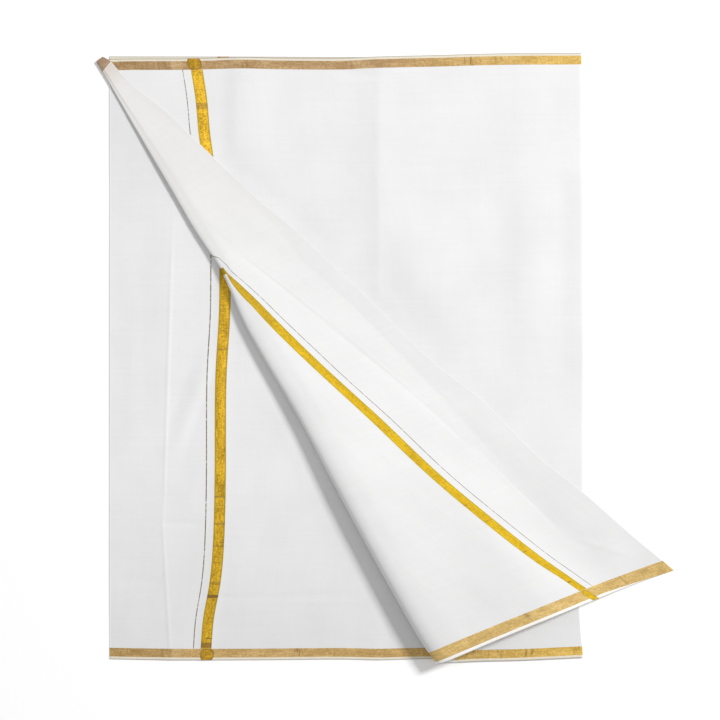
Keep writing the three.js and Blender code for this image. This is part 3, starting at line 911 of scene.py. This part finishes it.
def zari_border(name, far_tones, near_tones, hem_cotton_and_shade, curled, knot_look, knot_size, wear_and_crease_light):
    n = ClothNodes(name)
    from_hem = n.math("MINIMUM", n.v, n.math("SUBTRACT", CLOTH_WIDTH * MM, n.v))
    streaks = n.noise(26, 400, 4)
    specks = n.noise(200, 220, 2)
    grain = n.grain((streaks, 0.8), (specks, 1.2), (n.noise(22, 60, 3), 1.1))
    gold = broken_up(n, border_tone(n, far_tones, near_tones, wear_and_crease_light), grain)
    # A thin darker line at the very hem: painted shade along the cloth's edge.
    edge = n.mix(n.near(from_hem, 0.0, *EDGE_SHADE_HALF_AND_SOFT), *hem_cotton_and_shade)
    colour = n.mix(gold_shown(n, from_hem, curled), edge, gold)
    away = knot(n, from_hem, *knot_size)
    colour = n.mix(n.ramp(away, 1.1, 0.9), colour, knot_tone(n, away, *knot_look))
    height = n.math("MULTIPLY_ADD", n.weave(ALONG_PITCH, ACROSS_PITCH), ZARI_WEAVE,
                    n.math("ADD", streaks, specks))
    return zari_look(n, colour, height, 0.4, 0.85)


print("a border is", BORDER_WIDTH, "mm wide with its plain edge")

# %% [markdown]
# The face has a cream edge and dark knots. The reverse has a whiter edge, which curls by as much
# as 6 mm, and no painted shade or highlight at the pressed crease. On both, the very hem is a
# thin darker line, painted shade along the cloth's edge.

# %% Border finishes
# The second tone of each pair is painted shade along the cloth's edge.
SELVEDGE_COTTON, EDGE_SHADE_LINE = (0.84, 0.79, 0.67), (0.52, 0.47, 0.41)
WASHED_COTTON, REVERSE_EDGE_SHADE = (0.93, 0.92, 0.89), (0.70, 0.67, 0.62)
# The last number is how strong the painted shade and highlight at the pressed crease are.
border_face = zari_border(
    "zari_border_face", ((0.62, 0.41, 0.21), (0.98, 0.69, 0.18)),
    ((0.69, 0.465, 0.178), (0.90, 0.62, 0.12)), (SELVEDGE_COTTON, EDGE_SHADE_LINE), 0.0,
    ((0.66, 0.40, 0.022), 0.85, 0.6), (0.0112, 0.0145, 0.0128), 0.26)
border_reverse = zari_border(
    "zari_border_reverse", ((0.50, 0.355, 0.25), (0.50, 0.355, 0.25)),
    ((0.82, 0.595, 0.225), (0.80, 0.575, 0.20)), (WASHED_COTTON, REVERSE_EDGE_SHADE), 0.006,
    ((0.80, 0.55, 0.012), 0.6, 0.35), (0.0108, 0.0105, 0.0125), 0.0)
print("border finishes:", border_face.name, border_reverse.name)

# %% [markdown]
# ### The cross bands
# A band is woven across the width, so its streaks run that way. Its gold is darker at both edges.
# On the face it is painted darker along a few creases, where the cloth was folded small: painted
# shade in the creases. On the turned corner it is painted darker towards the place where the roll
# pinches it, as painted shade by the roll. Each row below is one crease: its place, half its
# width and how dark its painted shade is.

# %% Band finishes
BAND_CREASE_SHADE = table(
    "v half depth", (0.101, 0.006, 0.5), (0.172, 0.002, 0.25), (0.616, 0.001, 0.45),
    (0.926, 0.001, 0.5), (0.983, 0.0015, 0.5), (1.0295, 0.001, 0.35), (1.108, 0.002, 0.45),
    (1.136, 0.0025, 0.9), (1.2385, 0.0045, 0.75),
)
NO_CREASE_SHADE = table("v half depth", (0.0, 0.001, 0.0))
RIM_WIDTH, RIM_SOFT, CREASE_SOFT = 0.004, 0.003, 0.002
ROLL_SHADE_FROM = (0.62, 0.46)


def zari_band(name, dull, bright, rim, crease_shade, roll_shade, metallic):
    n = ClothNodes(name)
    streaks = n.noise(400, 50, 4)
    specks = n.noise(260, 240, 2)
    grain = n.grain((streaks, 1.0), (specks, 1.8), (n.noise(60, 26, 3), 1.5))
    inner = n.near(n.u, BAND_CENTRE * MM, BAND_WIDTH * MM / 2 - RIM_WIDTH, RIM_SOFT)
    colour = n.mix(inner, rim, n.mix(grain, dull, bright))
    # Dark streaks at random, with painted shade along each crease line.
    dark_and_shaded = n.ramp(n.noise(22, 190, 2), 0.62, 0.76)
    for v, half, depth in zip(*crease_shade.values()):
        line = n.near(n.v, float(v), float(half), CREASE_SOFT)
        dark_and_shaded = n.math("MAXIMUM", dark_and_shaded, n.math("MULTIPLY", line, float(depth)))
    # Painted shade towards the pinch of the roll.
    shade_by_the_roll = n.math("MULTIPLY", n.ramp(n.v, *ROLL_SHADE_FROM), roll_shade)
    dark_and_shaded = n.math("MAXIMUM", dark_and_shaded, shade_by_the_roll)
    colour = n.mix(dark_and_shaded, colour, DARK_ZARI_AND_SHADE)
    height = n.math("MULTIPLY_ADD", n.weave(ACROSS_PITCH, ALONG_PITCH), ZARI_WEAVE,
                    n.math("ADD", streaks, specks))
    return zari_look(n, colour, height, metallic, 0.5)


band_face = zari_band("zari_band_face", (0.36, 0.20, 0.006), (0.96, 0.60, 0.035),
                      (0.46, 0.31, 0.015), BAND_CREASE_SHADE, 0.0, 0.55)
band_reverse = zari_band("zari_band_reverse", (0.49, 0.31, 0.004), (0.80, 0.515, 0.007),
                         (0.52, 0.37, 0.008), NO_CREASE_SHADE, 0.3, 0.5)
print("band finishes:", band_face.name, band_reverse.name)

# %% [markdown]
# ## The lower stretch
# It lies flat on the table. To the left of the turn all of it shows, and under the upper
# half only its edge does. The ground is two grids, one on each side of the cross band, so
# that white and gold meet on a clean line. The grid by the cut end has narrow columns, for
# the thin pressed creases in it.

# %% Lower stretch
FAR_LINE = BORDER_WIDTH
NEAR_LINE = CLOTH_WIDTH - BORDER_WIDTH
LOWER_CELL = 6.0


def same_u(s, v):
    return s


def lower_part(v_from, v_to, columns, u_from, u_to):
    return cloth_grid(v_from, v_to, LOWER_CELL, columns, level(u_from), level(u_to),
                      lower_place, same_u)


lower_ground = finish_cloth("lower_ground", [
    lower_part(FAR_LINE, NEAR_LINE, 80, 0, BAND_NEAR),
    lower_part(FAR_LINE, NEAR_LINE, 120, BAND_FAR, HALF_LENGTH),
], cotton_lower)
lower_band = finish_cloth(
    "lower_band", [lower_part(FAR_LINE, NEAR_LINE, 4, BAND_NEAR, BAND_FAR)], band_face)
lower_borders = finish_cloth("lower_borders", [
    lower_part(0, FAR_LINE, 160, 0, HALF_LENGTH),
    lower_part(NEAR_LINE, CLOTH_WIDTH, 160, 0, HALF_LENGTH),
], border_face)

# %% [markdown]
# ## The upper stretch, with the side fold
# It starts at the turn, whose line runs down from the far corner, and goes on round the side
# fold as one piece, because the fold is the same cloth. The cross band goes under the turn
# part of the way down. The v where each of its edges does so is found by halving.

# %% Where the cross band meets the turn
def line_where(measure, size):
    """The v at which a measure that grows with v comes to a size."""
    low, high = BORDER_WIDTH, NEAR_LINE
    for _ in range(40):
        middle = (low + high) / 2
        if measure(np.array(middle)) < size:
            low = middle
        else:
            high = middle
    return low


upper_band_meets = line_where(upper_start_u, BAND_NEAR)
upper_band_leaves = line_where(upper_start_u, BAND_FAR)
print("the band meets the turn from", round(upper_band_meets), "to", round(upper_band_leaves))

# %% The flat half and the fold, joined
UPPER_CELL, FOLD_COLUMNS, FOLD_TAKES = 5.0, 6, 2.0
SEAM_GAP = 0.00001


def not_before(u):
    return lambda v: np.maximum(upper_start_u(v), u)


def folded_u(s, v):
    return np.minimum(s, HALF_LENGTH) + (s > HALF_LENGTH) * FOLD_TAKES


def upper_part(v_from, v_to, columns, first, last):
    return cloth_grid(v_from, v_to, UPPER_CELL, columns, first, last, upper_path, folded_u)


def upper_flat_and_fold(v_from, v_to, columns, first):
    side_fold, fold_end = level(HALF_LENGTH), level(HALF_LENGTH + 1)
    flat = upper_part(v_from, v_to, columns, first, side_fold)
    fold = upper_part(v_from, v_to, FOLD_COLUMNS, side_fold, fold_end)
    take_only(flat, fold)
    bpy.ops.object.join()
    bpy.ops.object.mode_set(mode="EDIT")
    bpy.ops.mesh.select_all(action="SELECT")
    bpy.ops.mesh.remove_doubles(threshold=SEAM_GAP)
    bpy.ops.object.mode_set(mode="OBJECT")
    return flat


print("columns round the side fold:", FOLD_COLUMNS)

# %% Upper stretch
upper_ground = finish_cloth("upper_ground", [
    upper_part(FAR_LINE, upper_band_meets, 44, upper_start_u, level(BAND_NEAR)),
    upper_flat_and_fold(FAR_LINE, NEAR_LINE, 120, not_before(BAND_FAR)),
], cotton_face)
upper_band = finish_cloth("upper_band", [
    upper_part(FAR_LINE, upper_band_leaves, 4, not_before(BAND_NEAR), level(BAND_FAR)),
], band_face)
upper_borders = finish_cloth("upper_borders", [
    upper_flat_and_fold(0, FAR_LINE, 170, upper_start_u),
    upper_flat_and_fold(NEAR_LINE, CLOTH_WIDTH, 60, upper_start_u),
], border_face)

# %% [markdown]
# ## The turned corner, with the roll
# The roll and the corner behind it are one shell, so the light runs over the crest unbroken.
# This side is the reverse of the cloth, and its band is a more even yellow. Where the cross
# band rounds the crest, the roll pinches it nearly to a point, so the first part of the band
# there has a grid of its own with small cells.

# %% Turned corner
CORNER_CELL, PINCH_CELL = 5.0, 1.0
BAND_TURNS = line_where(turn_u, BAND_NEAR)
BAND_GATHER = 14.0
BAND_OPEN = BAND_TURNS + BAND_GATHER


def corner_part(v_from, v_to, columns, first, last, cell=CORNER_CELL):
    return cloth_grid(v_from, v_to, cell, columns, first, last, corner_path, corner_u)


whole_path = level(-1.0), level(1.0)
corner_ground = finish_cloth("corner_ground", [
    corner_part(FAR_LINE, BAND_TURNS, 44, *whole_path),
    corner_part(BAND_TURNS, NEAR_LINE, 84, band_edge("outer"), level(1.0)),
    corner_part(BAND_OPEN, NEAR_LINE, 90, level(-1.0), band_edge("inner")),
], cotton_reverse)
corner_band = finish_cloth("corner_band", [
    corner_part(BAND_TURNS, BAND_OPEN, 16, level(-1.0), band_edge("outer"), PINCH_CELL),
    corner_part(BAND_OPEN, NEAR_LINE, 6, band_edge("inner"), band_edge("outer")),
], band_reverse)
corner_borders = finish_cloth("corner_borders", [
    corner_part(0, FAR_LINE, 24, *whole_path),
    corner_part(NEAR_LINE, CLOTH_WIDTH, 150, *whole_path),
], border_reverse)

# %% [markdown]
# ## What each piece stands for
# Each shell rides on the one body and hides the solids that it dresses.

def stands_for(piece, slot, *nodes):
    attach(piece, "root")
    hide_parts(*nodes)


stands_for(lower_ground, "cotton", "lower_field", "lower_end_strip")
stands_for(lower_band, "zari_band", "lower_cross_band")
stands_for(lower_borders, "zari_border", "lower_border_far", "lower_border_near")
stands_for(upper_ground, "cotton", "upper_field", "upper_end_strip", "side_fold_field")
stands_for(upper_band, "zari_band", "upper_cross_band")
stands_for(upper_borders, "zari_border", "upper_border_far", "upper_border_near",
           "side_fold_border_far", "side_fold_border_near")
stands_for(corner_ground, "cotton", "corner_field", "corner_end_strip", "turn_field",
           "turn_end_strip")
stands_for(corner_band, "zari_band", "corner_cross_band", "turn_cross_band")
stands_for(corner_borders, "zari_border", "corner_border_far", "corner_border_near",
           "turn_border_far", "turn_border_near")
print("pieces declared, the last one:", corner_borders.name)

# %% [markdown]
# The three grounds are sheets of cloth, each with the borders and the band that are woven into
# it. The turned corner is three-sided in the flat cut: it has no width at the far selvedge and is
# widest at the near one.

# %% [markdown]
# ## Floor, light and camera
# White cotton shows its folds only by their shade. A plain pale floor and a soft light all
# round keep the shade gentle. One large softbox far off on the right, towards the far side
# and only 30 degrees up, gives the roll its soft shadow and shows up the creases.

# %% Floor
FLOOR_SIZE = 14
bpy.ops.object.select_all(action="DESELECT")
bpy.ops.mesh.primitive_plane_add(size=FLOOR_SIZE, location=(0, 0, 0))
floor = bpy.context.active_object
floor.name = "floor"
floor_paint = bpy.data.materials.new("floor_paint")
floor_paint.use_nodes = True
paint = floor_paint.node_tree.nodes["Principled BSDF"]
paint.inputs["Base Color"].default_value = (0.98, 0.98, 0.98, 1)
paint.inputs["Roughness"].default_value = 0.9
floor.data.materials.append(floor_paint)
print("floor:", FLOOR_SIZE, "m square")

# %% Light all round
ROOM_LIGHT = 0.55
world = bpy.data.worlds.new("soft_room")
world.use_nodes = True
room = world.node_tree.nodes["Background"]
room.inputs["Color"].default_value = (1, 1, 1, 1)
room.inputs["Strength"].default_value = ROOM_LIGHT
bpy.context.scene.world = world
print("light of the room:", ROOM_LIGHT)

# %% Softbox
SOFTBOX_AWAY, SOFTBOX_UP, SOFTBOX_TURN = 13.0, math.radians(30), math.radians(30)
SOFTBOX_SIZE, SOFTBOX_POWER = 2.3, 1880
bpy.ops.object.light_add(type="AREA", location=(
    SOFTBOX_AWAY * math.cos(SOFTBOX_UP) * math.cos(SOFTBOX_TURN),
    SOFTBOX_AWAY * math.cos(SOFTBOX_UP) * math.sin(SOFTBOX_TURN),
    SOFTBOX_AWAY * math.sin(SOFTBOX_UP),
), rotation=(0, math.pi / 2 - SOFTBOX_UP, SOFTBOX_TURN))
softbox = bpy.context.active_object
softbox.name = "softbox"
softbox.data.shape = "SQUARE"
softbox.data.size = SOFTBOX_SIZE
softbox.data.energy = SOFTBOX_POWER
print("softbox elevation:", round(math.degrees(SOFTBOX_UP)), "degrees")

# %% [markdown]
# The cloth is laid out to be seen from above, so the camera looks straight down. It stands
# so high that one pixel is a little over 2 mm of cloth. The cloth is not quite in the middle
# of the picture, and the camera is moved across to suit.

# %% Camera
PICTURE = 720
MM_PER_PIXEL = 2.1096
CLOTH_PX, CLOTH_PY = 385, 358
LENS, SENSOR = 85.0, 36.0
camera_x = (PICTURE / 2 - CLOTH_PX) * MM_PER_PIXEL * MM
camera_y = (CLOTH_PY - PICTURE / 2) * MM_PER_PIXEL * MM
height = PICTURE * MM_PER_PIXEL * MM * LENS / SENSOR
bpy.ops.object.camera_add(location=(camera_x, camera_y, height), rotation=(0, 0, 0))
camera = bpy.context.active_object
camera.data.lens = LENS
camera.data.sensor_width = SENSOR
bpy.context.scene.camera = camera
bpy.context.scene.view_settings.view_transform = "Standard"
print("camera height:", round(height, 3), "m")
